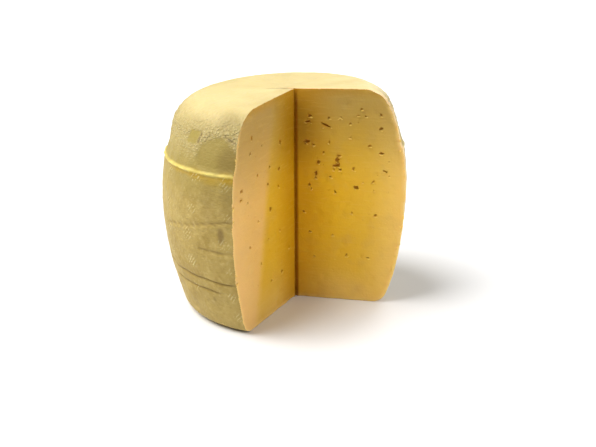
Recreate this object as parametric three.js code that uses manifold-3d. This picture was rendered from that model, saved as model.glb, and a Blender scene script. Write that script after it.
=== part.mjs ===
// A barrel-shaped sardo cheese that stands on its flat base, with a wide wedge cut out of it.
// Millimetres, +Z up. The origin is on the barrel's axis, in the plane of the base.
// The right-hand cut face runs along +X, and the cut-out opens towards +X and -Y.

import * as THREE from "three";
import { mergeVertices } from "three/addons/utils/BufferGeometryUtils.js";
import Module from "manifold-3d";

// The barrel: a wall that swells to a belly, a wide round shoulder and a tighter edge at the base.
const BELLY_RADIUS = 82;
const BELLY_HEIGHT = 79;
const HEIGHT = 146;
const UPPER_WALL_ARC = 151;
const LOWER_WALL_ARC = 232;
const SHOULDER_ROUND = 22.5;
const BASE_ROUND = 10;

// The top was pressed a little askew, so it climbs towards one side, and it has a slight crown.
const TOP_SLOPE = 0.05;
const TOP_CLIMBS_TO = THREE.MathUtils.degToRad(-12);
const TOP_CROWN = 1.1;
const CROWN_RADIUS = 65; // where the crown has fallen to nothing

// The seam is the lip of cheese that rose between the mould and its lid, which sat a little askew.
const SEAM_HEIGHT = 110.2; // at its highest
const SEAM_TILT = 2; // half of what it drops on the far side
const SEAM_HIGHEST_AT = THREE.MathUtils.degToRad(-80);
const SEAM_TILT_REACH = 25; // how far above and below the seam the wall follows it
const SEAM_PROUD = 1;
const SEAM_HALF_WIDTH = 1.5;
const LID_STEP = 0.6; // the wall above the seam stands this much further in

// Folds of the cheesecloth left shallow creases that run round the wall and fade in and out.
const CREASES = [
  { height: 30, strongestAt: THREE.MathUtils.degToRad(-127) },
  { height: 37.7, strongestAt: THREE.MathUtils.degToRad(-122) },
  { height: 59.5, strongestAt: THREE.MathUtils.degToRad(-111) },
];
const CREASE_DEPTH = 0.8;
const CREASE_HALF_WIDTH = 1.7;
const CREASE_FADES = 2; // how often a crease fades in one turn
const CREASE_FAINTEST = 0.3; // share of its depth that is left there

// Slow unevenness of the pressed wall: two crossing waves that wind round it.
const LUMP_HEIGHT = 0.5;
const LUMP_WAVES = [3, 2]; // in one turn
const LUMP_RISE = [31, -23]; // height in which each wave winds on by one radian

// The cut: two upright knife faces that meet off the axis, and the slit where the knife ran on past them.
const CUT_MEETS = new THREE.Vector2(7.7, -1.6);
const CUT_ANGLE = THREE.MathUtils.degToRad(-106.7); // from the right-hand face to the left-hand one
const SLIT_ANGLE = THREE.MathUtils.degToRad(176); // almost straight on from the right-hand face
const SLIT_LENGTH = 19;
const SLIT_MOUTH = 1.4;
const KNIFE_REACH = 4 * BELLY_RADIUS;
const KNIFE_OVERRUN = 20; // above the top and below the base

// Eyes: small openings in the paste. The large ones are placed by hand, as
// [distance from the meeting line, height, length, width, tilt in degrees], the rest by a spread rule.
const RIGHT_EYES = [
  [8.4, 125.7, 4.4, 1.2, 10],
  [20.7, 123.9, 6.4, 1.5, -24],
  [8.0, 112.5, 3.6, 2.2, -15],
  [27.6, 96.6, 5.4, 1.6, 6],
  [28.6, 100.4, 2.2, 1.6, 70],
  [29.4, 103.4, 2.0, 1.2, 20],
  [14.2, 90.6, 3.6, 1.5, 78],
  [15.6, 98.4, 2.6, 1.6, 60],
  [57.7, 106.5, 2.8, 1.6, -35],
  [60.1, 94.4, 3.0, 1.3, -20],
  [41.4, 82.3, 3.0, 1.8, 25],
  [52.4, 86.6, 2.8, 1.2, 40],
];
const LEFT_EYES = [
  [21.0, 117.2, 2.8, 1.6, 60],
  [22.6, 99.2, 2.2, 1.4, 0],
  [37.5, 93.1, 2.2, 1.3, 10],
  [34.5, 75.0, 2.6, 1.8, 50],
  [56.7, 128.6, 2.4, 1.2, 70],
  [71.0, 92.6, 3.0, 1.0, 0],
  [69.8, 98.1, 2.0, 1.4, 20],
];
const EYE_DEPTH = 0.7; // of an eye's width
const SPREAD_EYES = 16; // on each face
const SPREAD_EYE_LENGTH = [1.2, 2.2];
const SPREAD_EYE_WIDTH = 0.65; // of its length
const SPREAD_INSET = 9; // from the rind and from the meeting line
const SPREAD_STEPS = { along: 0.7548776662, height: 0.5698402910, length: 0.3819660113, tilt: 0.2360679775 };
const LEFT_SPREAD_START = 40; // where the left-hand face joins the same sequence

// Fineness of the faceted surface.
const TURN_STEPS = 120;
const WALL_STEP = 8;
const SHOULDER_STEPS = 8;
const TOP_STEPS = 3;
const BASE_STEPS = 4;

// Colour of the cheese, as a pale straw yellow.
const CHEESE_COLOUR = 0xe2c57c;

const wasm = await Module();
wasm.setup();

// Where a rounded edge of the given radius touches the wall: the edge's centre, and the wall's angle there.
function edgeOnWall(wallArc, edgeRound, reach) {
  const arcCentre = BELLY_RADIUS - wallArc;
  const rise = reach - edgeRound;
  const radius = arcCentre + Math.sqrt((wallArc - edgeRound) ** 2 - rise ** 2);
  return { radius, angle: Math.atan2(rise, radius - arcCentre) };
}

const shoulder = edgeOnWall(UPPER_WALL_ARC, SHOULDER_ROUND, HEIGHT - BELLY_HEIGHT);
const baseEdge = edgeOnWall(LOWER_WALL_ARC, BASE_ROUND, BELLY_HEIGHT);

function wallRadius(z) {
  const arc = z > BELLY_HEIGHT ? UPPER_WALL_ARC : LOWER_WALL_ARC;
  return BELLY_RADIUS - arc + Math.sqrt(arc ** 2 - (z - BELLY_HEIGHT) ** 2);
}

// Heights of the rings on the wall: even steps, with closer rings across the seam and each crease.
function wallHeights() {
  const low = BELLY_HEIGHT - LOWER_WALL_ARC * Math.sin(baseEdge.angle);
  const high = BELLY_HEIGHT + UPPER_WALL_ARC * Math.sin(shoulder.angle);
  const marks = [
    ...[-1, -0.5, 0, 0.5, 1].map((k) => SEAM_HEIGHT + k * SEAM_HALF_WIDTH),
    ...CREASES.flatMap(({ height }) => [-1, 0, 1].map((k) => height + k * CREASE_HALF_WIDTH)),
  ];
  const clear = (z) => marks.every((m) => Math.abs(m - z) > WALL_STEP / 4);
  const even = [];
  for (let z = low + WALL_STEP; z < high - WALL_STEP / 2; z += WALL_STEP) even.push(z);
  return [...marks, ...even.filter(clear)].sort((a, b) => a - b);
}

// Half of the barrel's outline, from the middle of the base to the middle of the top.
function outline() {
  const base = new THREE.EllipseCurve(
    baseEdge.radius, BASE_ROUND, BASE_ROUND, BASE_ROUND, -Math.PI / 2, -baseEdge.angle,
  );
  const top = new THREE.EllipseCurve(
    shoulder.radius, HEIGHT - SHOULDER_ROUND, SHOULDER_ROUND, SHOULDER_ROUND, shoulder.angle, Math.PI / 2,
  );
  return [
    new THREE.Vector2(0, 0),
    ...base.getPoints(BASE_STEPS),
    ...wallHeights().map((z) => new THREE.Vector2(wallRadius(z), z)),
    ...top.getPoints(SHOULDER_STEPS),
    ...Array.from({ length: TOP_STEPS }, (_, i) => {
      return new THREE.Vector2(shoulder.radius * (1 - (i + 1) / TOP_STEPS), HEIGHT);
    }),
  ];
}

// A smooth hump from 0 at the edges to 1 in the middle, for x from -1 to 1.
function hump(x) {
  return Math.abs(x) < 1 ? 0.5 + 0.5 * Math.cos(Math.PI * x) : 0;
}

// How far the rind stands out of the plain barrel at an angle round it and a height.
function rindRelief(angle, z) {
  const { smoothstep, lerp } = THREE.MathUtils;
  const seam = SEAM_PROUD * hump((z - SEAM_HEIGHT) / SEAM_HALF_WIDTH);
  const creases = CREASES.map(({ height, strongestAt }) => {
    const swing = 0.5 + 0.5 * Math.cos(CREASE_FADES * (angle - strongestAt));
    return CREASE_DEPTH * lerp(CREASE_FAINTEST, 1, swing) * hump((z - height) / CREASE_HALF_WIDTH);
  });
  const [wave, cross] = LUMP_WAVES.map((count, i) => count * angle + z / LUMP_RISE[i]);
  const lumps = LUMP_HEIGHT * Math.sin(wave) * Math.cos(cross);
  const lid = z > SEAM_HEIGHT ? LID_STEP : 0;
  const offBase = smoothstep(z, 0, 2 * BASE_ROUND);
  const offTop = 1 - smoothstep(z, HEIGHT - SHOULDER_ROUND, HEIGHT);
  return seam - creases.reduce((sum, depth) => sum + depth) + (lumps - lid) * offBase * offTop;
}

// A closed geometry as a solid that can be joined and cut.
function solidOf(geometry) {
  const bare = geometry.clone();
  bare.deleteAttribute("normal");
  bare.deleteAttribute("uv");
  const merged = mergeVertices(bare, 1e-4);
  const faces = [];
  const index = merged.index.array;
  for (let i = 0; i < index.length; i += 3) {
    const [a, b, c] = index.slice(i, i + 3);
    if (a !== b && b !== c && c !== a) faces.push(a, b, c);
  }
  return new wasm.Manifold(
    new wasm.Mesh({
      numProp: 3,
      vertProperties: merged.attributes.position.array,
      triVerts: new Uint32Array(faces),
    }),
  );
}

function geometryOf(solid) {
  const mesh = solid.getMesh();
  return new THREE.BufferGeometry()
    .setAttribute("position", new THREE.BufferAttribute(mesh.vertProperties, 3))
    .setIndex(new THREE.BufferAttribute(mesh.triVerts, 1));
}

// The whole barrel, with its rind's relief and its sloping top.
function barrel() {
  const geometry = new THREE.LatheGeometry(outline(), TURN_STEPS).rotateX(Math.PI / 2);
  const place = geometry.attributes.position;
  for (let i = 0; i < place.count; i++) {
    const z = place.getZ(i);
    const angle = Math.atan2(place.getY(i), place.getX(i));
    const radius = Math.hypot(place.getX(i), place.getY(i)) + rindRelief(angle, z);
    const slope = TOP_SLOPE * radius * Math.cos(angle - TOP_CLIMBS_TO);
    const crown = TOP_CROWN * (1 - (radius / CROWN_RADIUS) ** 2);
    const climb = (slope + crown) * (z / HEIGHT) ** 2;
    const nearSeam = hump((z - SEAM_HEIGHT) / SEAM_TILT_REACH);
    const drop = SEAM_TILT * (1 - Math.cos(angle - SEAM_HIGHEST_AT)) * nearSeam;
    place.setXYZ(i, radius * Math.cos(angle), radius * Math.sin(angle), z + climb - drop);
  }
  return solidOf(geometry);
}

// An upright prism on a flat outline, taller than the cheese.
function uprightBlade(points) {
  const geometry = new THREE.ExtrudeGeometry(new THREE.Shape(points), {
    depth: HEIGHT + 2 * KNIFE_OVERRUN,
    bevelEnabled: false,
  });
  return solidOf(geometry.translate(CUT_MEETS.x, CUT_MEETS.y, -KNIFE_OVERRUN));
}

function polar(angle, radius) {
  return new THREE.Vector2(radius * Math.cos(angle), radius * Math.sin(angle));
}

// The wedge that was taken out.
function wedge() {
  return uprightBlade([new THREE.Vector2(), polar(CUT_ANGLE, KNIFE_REACH), polar(0, KNIFE_REACH)]);
}

// The slit that the knife left past the meeting line, open at the cut and closing to nothing.
function slit() {
  const side = polar(SLIT_ANGLE + Math.PI / 2, SLIT_MOUTH / 2);
  const mouth = polar(SLIT_ANGLE, -SLIT_MOUTH / 2);
  return uprightBlade([
    mouth.clone().sub(side),
    polar(SLIT_ANGLE, SLIT_LENGTH),
    mouth.clone().add(side),
  ]);
}

// Eyes spread evenly over a face, as rows like the hand-placed ones. Each value climbs by its own
// irrational step and keeps only the fraction, which fills the face with no two eyes close together.
function spreadEyes(first) {
  const { lerp } = THREE.MathUtils;
  return Array.from({ length: SPREAD_EYES }, (_, i) => {
    const share = (name) => ((first + i + 1) * SPREAD_STEPS[name]) % 1;
    const height = lerp(2 * SPREAD_INSET, HEIGHT - 2 * SPREAD_INSET, share("height"));
    const reach = wallRadius(height) - CUT_MEETS.length() - SPREAD_INSET;
    const along = lerp(SPREAD_INSET, reach, share("along"));
    const length = lerp(...SPREAD_EYE_LENGTH, share("length"));
    return [along, height, length, SPREAD_EYE_WIDTH * length, 180 * share("tilt")];
  });
}

// One eye: a flattened ball, half sunk in the cut face that runs off at the given angle.
function eye([along, height, length, width, tilt], faceAngle) {
  const spot = polar(faceAngle, along).add(CUT_MEETS);
  const ball = new THREE.IcosahedronGeometry(1, 1)
    .scale(length / 2, EYE_DEPTH * width, width / 2)
    .rotateY(-THREE.MathUtils.degToRad(tilt))
    .rotateZ(faceAngle)
    .translate(spot.x, spot.y, height);
  return solidOf(ball);
}

function cheese() {
  const eyes = [
    ...[...RIGHT_EYES, ...spreadEyes(0)].map((row) => eye(row, 0)),
    ...[...LEFT_EYES, ...spreadEyes(LEFT_SPREAD_START)].map((row) => eye(row, CUT_ANGLE)),
  ];
  const cutters = [wedge(), slit(), ...eyes];
  return cutters.reduce((body, cutter) => body.subtract(cutter), barrel());
}

const part = new THREE.Group();
const mesh = new THREE.Mesh(
  geometryOf(cheese()),
  new THREE.MeshStandardMaterial({ color: CHEESE_COLOUR, roughness: 0.6, metalness: 0 }),
);
mesh.name = "cheese";
part.add(mesh);

export default part;
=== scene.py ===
import math
import random

import bpy
import numpy as np
from mathutils import Matrix, Vector, noise
from mathutils.kdtree import KDTree


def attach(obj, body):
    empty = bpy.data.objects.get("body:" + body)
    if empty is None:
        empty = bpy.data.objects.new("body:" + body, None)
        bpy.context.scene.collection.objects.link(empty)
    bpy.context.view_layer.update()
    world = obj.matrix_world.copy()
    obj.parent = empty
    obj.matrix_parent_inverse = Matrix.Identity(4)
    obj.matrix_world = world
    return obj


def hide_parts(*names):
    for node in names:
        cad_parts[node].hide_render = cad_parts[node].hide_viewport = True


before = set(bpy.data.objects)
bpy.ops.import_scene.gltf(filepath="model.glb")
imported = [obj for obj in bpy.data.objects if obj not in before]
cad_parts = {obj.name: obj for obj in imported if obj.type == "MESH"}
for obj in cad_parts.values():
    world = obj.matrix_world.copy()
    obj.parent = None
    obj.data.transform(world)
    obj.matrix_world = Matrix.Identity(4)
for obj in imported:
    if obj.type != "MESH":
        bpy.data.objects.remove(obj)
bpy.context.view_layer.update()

# Camera
# It stands in front of the cut and a little to its right, above the top of the cheese, and looks down on it.
# Its place, turn and lens were solved from the outline of the cheese in the photograph.
camera_place = (0.1426, -0.6790, 0.3136)
camera_turn = math.radians(11.12)
camera_pitch = math.radians(-20.62)
camera_roll = math.radians(-0.28)
camera_focal_pixels = 1084.4
image_width_pixels = 596
sensor_width = 36

bpy.ops.object.select_all(action="DESELECT")
bpy.ops.object.camera_add(location=camera_place)
camera = bpy.context.active_object
level_turn = Matrix.Rotation(camera_turn, 4, "Z") @ Matrix.Rotation(math.pi / 2 + camera_pitch, 4, "X")
camera.matrix_world = Matrix.Translation(camera_place) @ level_turn @ Matrix.Rotation(camera_roll, 4, "Z")
camera.data.sensor_width = sensor_width
camera.data.lens = sensor_width * camera_focal_pixels / image_width_pixels
bpy.context.scene.camera = camera

# Pressed barrel
# The body of the cheese as it leaves its mould: a swollen belly, a wide round shoulder, a tighter base edge.
# Half of its outline is drawn by spinning a point about the centre of each arc, and is then spun about the
# axis of the barrel.
mm = 0.001
belly_radius = 82 * mm
belly_height = 79 * mm
cheese_height = 146 * mm
upper_wall_arc = 151 * mm
lower_wall_arc = 232 * mm
shoulder_round = 22.5 * mm
base_round = 10 * mm
seam_height = 110.2 * mm
seam_tilt = 2 * mm
seam_tilts_to = -80
base_rings = 4
base_edge_rings = 10
lower_wall_rings = 50
upper_wall_rings = 50
shoulder_rings = 42
top_rings = 16
turn_steps = 480
fine_stretches = ((seam_height - 4 * seam_tilt, seam_height + seam_tilt), (26 * mm, 41 * mm))
same_point = 0.02 * mm


def edge_on_wall(wall_arc, edge_round, reach):
    """Radius of the centre of a rounded edge that touches the wall, and the wall's angle where they touch."""
    arc_centre = belly_radius - wall_arc
    rise = reach - edge_round
    edge_radius = arc_centre + math.sqrt((wall_arc - edge_round) ** 2 - rise**2)
    return edge_radius, math.atan2(rise, edge_radius - arc_centre)


def draw_arc(radius, height, angle, steps):
    """Carries the outline on along an arc about a centre at this radius and height."""
    bpy.ops.mesh.spin(steps=steps, angle=angle, center=(radius, 0, height), axis=(0, 1, 0))


def draw_line(length, steps):
    """Carries the outline on along the radius."""
    for _ in range(steps):
        bpy.ops.mesh.extrude_vertices_move(TRANSFORM_OT_translate={"value": (length / steps, 0, 0)})


shoulder_centre, shoulder_angle = edge_on_wall(upper_wall_arc, shoulder_round, cheese_height - belly_height)
base_centre, base_angle = edge_on_wall(lower_wall_arc, base_round, belly_height)

bpy.ops.object.select_all(action="DESELECT")
bpy.ops.mesh.primitive_plane_add(size=base_round)
cheese = bpy.context.active_object
cheese.name = "cut_cheese"
bpy.ops.object.mode_set(mode="EDIT")
bpy.ops.mesh.select_all(action="SELECT")
bpy.ops.mesh.merge(type="CENTER")
draw_line(base_centre, base_rings)
draw_arc(base_centre, base_round, math.pi / 2 - base_angle, base_edge_rings)
draw_arc(belly_radius - lower_wall_arc, belly_height, base_angle, lower_wall_rings)
draw_arc(belly_radius - upper_wall_arc, belly_height, shoulder_angle, upper_wall_rings)
draw_arc(shoulder_centre, cheese_height - shoulder_round, math.pi / 2 - shoulder_angle, shoulder_rings)
draw_line(-shoulder_centre, top_rings)

# The stretches that the seam and the two lowest creases will take are drawn finer.
bpy.ops.mesh.select_mode(type="EDGE")
bpy.ops.mesh.select_all(action="DESELECT")
bpy.ops.object.mode_set(mode="OBJECT")
for edge in cheese.data.edges:
    heights = [cheese.data.vertices[v].co.z for v in edge.vertices]
    edge.select = any(low < min(heights) and max(heights) < high for low, high in fine_stretches)
bpy.ops.object.mode_set(mode="EDIT")
bpy.ops.mesh.subdivide(number_cuts=1)

bpy.ops.mesh.select_all(action="SELECT")
bpy.ops.mesh.spin(steps=turn_steps, angle=2 * math.pi, center=(0, 0, 0), axis=(0, 0, 1))
bpy.ops.mesh.select_all(action="SELECT")
bpy.ops.mesh.remove_doubles(threshold=same_point)
bpy.ops.mesh.normals_make_consistent(inside=False)
bpy.ops.object.mode_set(mode="OBJECT")

# Rind relief
# The mould, its lid and the cheesecloth mark the rind: a raised seam round the upper wall, creases and short
# cracks, smooth dents, and a puckered band under the shoulder. Each mark is a field of numbers over the mesh,
# and together the fields move its points in or out.
top_slope = 0.05
top_climbs_to = math.radians(-12)
top_crown = 1.1 * mm
crown_radius = 65 * mm
seam_proud = 0.9 * mm
seam_half_width = 1.7 * mm
seam_swell = 0.3
seam_swell_size = 9 * mm
seam_by_right_face = 0.4
seam_whole_from = (0.1, 0.5)
crest_height = 0.75
crest_raggedness = 0.5
seam_groove = 0.15 * mm
seam_groove_drop = 2.3 * mm
seam_groove_half_width = 1.6 * mm
lid_step = 0.6 * mm
lid_step_width = 0.8 * mm
line_depth = 0.9 * mm
line_half_width = 1.2 * mm
line_wander = 1.2 * mm
crease_fade = 0.25
crack_fade = 0.2
dent_depth = 0.8 * mm
dent_edge = (0.82, 1.04)
dents_start = (seam_height + mm, seam_height + 4 * mm)
patch_depth = 0.35 * mm
patch_edge = (0.8, 1.1)
patch_lean = 0.35
edge_wander = 0.2
wander_size = 17 * mm
ragged_size = 5 * mm
lump_height = 0.5 * mm
long_lump = 31 * mm
short_lump = 23 * mm
pucker_height = 1.3 * mm
pucker_middle = 130.5 * mm
pucker_half_width = 20 * mm
pucker_size = 3.2 * mm
pucker_floor = 0.75
pucker_steepness = 1.2
pucker_swell = 0.4
pucker_swell_size = 8 * mm
puckers_elsewhere = 0.03
puckers_smoothed = 0.9
puckers_crowd_at = -112
puckers_crowd_by = 0.25
puckers_crowd_times = 3
wrinkle_flatness = 1.7
dimple_height = 0.5 * mm
dimple_size = 9 * mm
small_dimple_size = 4 * mm
small_dimple_share = 0.35
dimples_on_top = 0.3
dimples_smoothed = 0.8
relief_starts = (0.5 * mm, 2 * base_round)

# The seam's line drifts by so much, in waves of each size.
seam_drifts = ((0.5 * mm, 30 * mm), (0.2 * mm, 5 * mm), (0.3 * mm, 2.6 * mm))

# The tables of the rind's marks are in degrees and millimetres.
# Creases of the cloth: height, the angles that each runs between, how much it climbs on the way, and its
# strength, which is below 0 for a ridge.
creases = [
    (30.0, -150, -108, 0.5, 1.0),
    (37.7, -165, -98, 0.0, 1.0),
    (59.5, -121, -98, 0.5, 0.9),
    (66.0, -150, -98, 17.5, 0.75),
    (63.6, -150, -98, 17.5, -0.6),
    (34.0, 20, 165, 3.0, 0.9),
    (27.0, 70, 140, -2.0, 0.7),
    (62.0, 95, 190, 6.0, 0.6),
    (52.0, 5, 62, -7.0, 0.5),
    (88.0, 120, 175, -4.0, -0.4),
]

# Short cracks: angle and height of both ends, and strength.
cracks = [
    (-122.6, 134.6, -124.8, 125.6, 1.0),
    (-109.5, 133.6, -100.5, 129.2, 0.6),
    (57.5, 131.0, 54.5, 121.5, 1.0),
    (143.0, 132.0, 152.0, 129.0, 0.6),
]

# Smooth dents where the cloth lay flat: angle, height, half width, half height and strength.
dents = [
    (-111, 117.5, 19.0, 15.5, 1.0),
    (-165, 118.0, 13.0, 11.0, 1.0),
    (36, 115.0, 25.0, 11.5, 1.0),
    (92, 119.5, 8.0, 9.0, 1.0),
    (148, 116.0, 22.0, 10.5, 1.0),
]

# Smooth ochre patches, where the cloth was doubled: angle, height, half width and half height.
patches = [
    (-128.6, 129.6, 5.8, 4.4),
    (61, 126.0, 6.0, 5.0),
    (172, 125.0, 7.0, 4.0),
]


def hump(x):
    """A smooth hump from 0 at -1 and 1 to 1 in the middle."""
    return 0.5 + 0.5 * np.cos(np.pi * np.clip(x, -1, 1))


def ease(x, low, high):
    """A smooth step from 0 at low to 1 at high."""
    share = np.clip((x - low) / (high - low), 0, 1)
    return share * share * (3 - 2 * share)


def noise_at(points, size):
    """Soft noise, from about -1 to 1, with lumps of this size."""
    return np.array([noise.noise(Vector(p) / size) for p in points])


def bubbles_at(points, size):
    """Round bumps of this size, packed side by side: 1 at most on their crowns, and lower in the gaps."""
    return np.array([1 - noise.voronoi(Vector(p) / size)[0][0] ** 2 for p in points])


def vertex_places(mesh):
    """The place of each point of a mesh."""
    places = np.empty(len(mesh.vertices) * 3)
    mesh.vertices.foreach_get("co", places)
    return places.reshape(-1, 3)


def vertex_ways(mesh):
    """The way that the surface faces at each point of a mesh."""
    ways = np.empty(len(mesh.vertices) * 3)
    mesh.vertex_normals.foreach_get("vector", ways)
    return ways.reshape(-1, 3)


def move_vertices(mesh, places):
    """Moves each point of a mesh to its new place."""
    mesh.vertices.foreach_set("co", places.ravel())
    mesh.update()


def around(angle, degrees):
    """How far, in radians and by the short way, an angle is past a mark at this many degrees."""
    return (angle - math.radians(degrees) + np.pi) % (2 * np.pi) - np.pi


def top_climb(places):
    """How far the sloping, slightly crowned top lifts each point of the straight barrel."""
    slope = top_slope * (places[:, 0] * math.cos(top_climbs_to) + places[:, 1] * math.sin(top_climbs_to))
    crown_highlight = top_crown * (1 - (places[:, 0] ** 2 + places[:, 1] ** 2) / crown_radius**2)
    return (slope + crown_highlight) * (places[:, 2] / cheese_height) ** 2


def wall_radius(height):
    """Radius of the plain wall at each height."""
    arc = np.where(height > belly_height, upper_wall_arc, lower_wall_arc)
    return belly_radius - arc + np.sqrt(arc**2 - (height - belly_height) ** 2)


def plain_spots(places):
    """The spot on the plain barrel under each point, where noise is the same before and after the relief."""
    radius = np.maximum(np.hypot(places[:, 0], places[:, 1]), mm)
    rise = places[:, 2] - cheese_height + shoulder_round
    out = radius - shoulder_centre
    reach = np.maximum(np.hypot(out, rise), mm)
    on_top = rise > 0
    on_shoulder = on_top & (out > 0)
    spot_radius = np.where(on_top, radius, wall_radius(places[:, 2]))
    spot_radius = np.where(on_shoulder, shoulder_centre + shoulder_round * out / reach, spot_radius)
    spot_rise = np.where(on_shoulder, shoulder_round * rise / reach, np.where(on_top, shoulder_round, rise))
    spots = places * (spot_radius / radius)[:, None]
    spots[:, 2] = spot_rise + cheese_height - shoulder_round
    return spots


def crease_field(angle, height, wander):
    """How deep in a crease each point lies, up to 1, or how high on a ridge, down to -1."""
    field = np.zeros_like(angle)
    for crease_height, start, end, rise, strength in creases:
        along = around(angle, (start + end) / 2) / math.radians((end - start) / 2)
        line = crease_height * mm + rise * mm * (along + 1) / 2 + line_wander * wander
        fade = ease(1 - np.abs(along), 0, crease_fade)
        field += strength * fade * hump((height - line) / line_half_width)
    return field


def crack_field(angle, height, wander):
    """How deep in a short crack each point lies, from 0 to 1."""
    field = np.zeros_like(angle)
    for start_angle, start_height, end_angle, end_height, strength in cracks:
        turn = math.radians(end_angle - start_angle)
        way = np.array([turn * belly_radius, (end_height - start_height) * mm])
        across = around(angle, start_angle) * belly_radius
        up = height - start_height * mm
        along = (across * way[0] + up * way[1]) / (way @ way)
        aside = (across * way[1] - up * way[0]) / math.hypot(*way) + line_wander * wander
        fade = strength * ease(0.5 - np.abs(along - 0.5), 0, crack_fade)
        field = np.maximum(field, fade * hump(aside / line_half_width))
    return field


def spot_field(angle, height, spots, wander, edge):
    """The strongest of many round spots at each point. Each fades out between the two shares of its size."""
    field = np.zeros_like(angle)
    for spot_angle, spot_height, half_width, half_height, strength in spots:
        across = around(angle, spot_angle) * belly_radius / (half_width * mm)
        spread = np.hypot(across, (height - spot_height * mm) / (half_height * mm))
        field = np.maximum(field, strength * (1 - ease(spread + wander, *edge)))
    return field


def patch_field(angle, height, wander):
    """How far inside an ochre patch each point lies, from 0 to 1. A patch leans, as the cloth's fold did."""
    field = np.zeros_like(angle)
    for patch_angle, patch_height, half_width, half_height in patches:
        lean = patch_lean * (height - patch_height * mm)
        aside = np.abs(around(angle, patch_angle) * belly_radius - lean) / (half_width * mm)
        apart = np.abs(height - patch_height * mm) / (half_height * mm)
        field = np.maximum(field, 1 - ease(np.maximum(aside, apart) + wander, *patch_edge))
    return field


def rind_marks(places):
    """How far each point of the straight barrel lies in each mark of the rind, by the mark's name."""
    spots = plain_spots(places)
    angle = np.arctan2(places[:, 1], places[:, 0])
    height = spots[:, 2]
    wander = noise_at(spots, wander_size)
    ragged = noise_at(spots, ragged_size)
    tilt = seam_tilt * (np.cos(around(angle, seam_tilts_to)) - 1)
    above_seam = height - seam_height - tilt
    for drift, size in seam_drifts:
        above_seam -= drift * noise_at(spots, size)
    seam_width = seam_half_width * (1 + seam_swell * noise_at(spots, seam_swell_size))
    off_right_face = ease(np.abs(around(angle, 0)), *seam_whole_from)
    whole_seam = seam_by_right_face + (1 - seam_by_right_face) * off_right_face
    dent = spot_field(angle, height, dents, edge_wander * wander, dent_edge)
    dent *= ease(height, *dents_start)
    patch = patch_field(angle, height, edge_wander * wander)
    crowd_wave = np.cos(puckers_crowd_times * around(angle, puckers_crowd_at)) ** 2
    crowding = 1 - puckers_crowd_by + puckers_crowd_by * crowd_wave
    smoothed = puckers_smoothed * np.maximum(dent, patch)
    band = hump((height - pucker_middle) / pucker_half_width) * (1 - smoothed) * crowding
    wide_spots = spots * [1, 1, wrinkle_flatness]
    billows = pucker_steepness * (bubbles_at(wide_spots, pucker_size) - pucker_floor)
    billows += pucker_swell * noise_at(wide_spots, pucker_swell_size)
    return {
        "seam_crest": hump(above_seam / seam_width) * (crest_height + crest_raggedness * ragged) * whole_seam,
        "seam_shadow": hump((above_seam + seam_groove_drop) / seam_groove_half_width),
        "above_seam": ease(above_seam, 0, lid_step_width),
        "crease": crease_field(angle, height, wander),
        "crack": crack_field(angle, height, ragged),
        "dent": dent,
        "ochre_patch": patch,
        "pucker": billows * (puckers_elsewhere + (1 - puckers_elsewhere) * band),
        "puckered": band,
        "dimple": noise_at(spots, dimple_size) + small_dimple_share * noise_at(spots, small_dimple_size),
        "lump": np.sin(3 * angle + height / long_lump) * np.cos(2 * angle - height / short_lump),
        "off_base": ease(height, *relief_starts),
        "off_top": 1 - ease(height, cheese_height - shoulder_round, cheese_height),
    }


places = vertex_places(cheese.data)
marks = rind_marks(places)
relief = seam_proud * marks["seam_crest"] - seam_groove * marks["seam_shadow"]
relief -= line_depth * marks["crease"] + line_depth * marks["crack"]
relief -= dent_depth * marks["dent"] + patch_depth * marks["ochre_patch"]
relief += (lump_height * marks["lump"] - lid_step * marks["above_seam"]) * marks["off_top"]
dimples_left = dimples_on_top + (1 - dimples_on_top) * marks["off_top"]
relief += dimple_height * marks["dimple"] * dimples_left * (1 - dimples_smoothed * marks["dent"])
relief += pucker_height * marks["pucker"]
places += vertex_ways(cheese.data) * (relief * marks["off_base"])[:, None]
places[:, 2] += top_climb(places)
move_vertices(cheese.data, places)

# Knife cut
# A wedge was cut out with two upright strokes that meet off the axis, and the blade ran on a little past the
# meeting line. The knife's path is an extruded outline with faces that waver, taken away from the barrel.
cut_meets = Vector((7.7 * mm, -1.6 * mm, 0))
cut_angle = math.radians(-106.7)
knife_reach = 100 * mm
knife_corner = 1.2 * knife_reach
knife_bottom = -20 * mm
knife_storey = 95 * mm
knife_face_cuts = 60
knife_waver = 0.3 * mm
long_waver_size = 26 * mm
short_waver_size = 6 * mm
short_waver_share = 0.3
waver_ends = 0.98 * knife_reach
tear_depth = 0.5 * mm
tear_size = 4.2 * mm
tear_limits = (0.28, 0.6)
slit_angle = math.radians(176)
slit_length = 19 * mm
slit_mouth = 0.9 * mm
waver_starts = (2 * slit_mouth, 8 * slit_mouth)
slit_waist_at = 1.6 * mm
slit_waist_angle = math.radians(138)
slit_waist = 1.0 * mm
lip_raggedness = 0.4 * mm
lip_grain = 3.5 * mm
same_way = 0.99


def heading(turn):
    """The level way at this turn from +X."""
    return Vector((math.cos(turn), math.sin(turn), 0))


waist = heading(slit_waist_angle) * slit_waist_at
waist_side = heading(slit_waist_angle + math.pi / 2) * slit_waist / 2
knife_outline = [
    heading(slit_angle) * slit_length,
    waist + waist_side,
    heading(cut_angle) * slit_mouth,
    heading(cut_angle) * knife_reach,
    (heading(cut_angle) + heading(0)) * knife_corner,
    heading(0) * knife_reach,
    heading(0) * slit_mouth,
    waist - waist_side,
]
bpy.ops.object.select_all(action="DESELECT")
bpy.ops.mesh.primitive_circle_add(vertices=len(knife_outline), radius=knife_reach, fill_type="NGON")
knife = bpy.context.active_object
for vertex, corner in zip(knife.data.vertices, knife_outline):
    vertex.co = cut_meets + corner + Vector((0, 0, knife_bottom))
bpy.ops.object.mode_set(mode="EDIT")
bpy.ops.mesh.select_all(action="SELECT")
for _ in range(2):
    bpy.ops.mesh.extrude_region_move(TRANSFORM_OT_translate={"value": (0, 0, knife_storey)})
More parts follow.
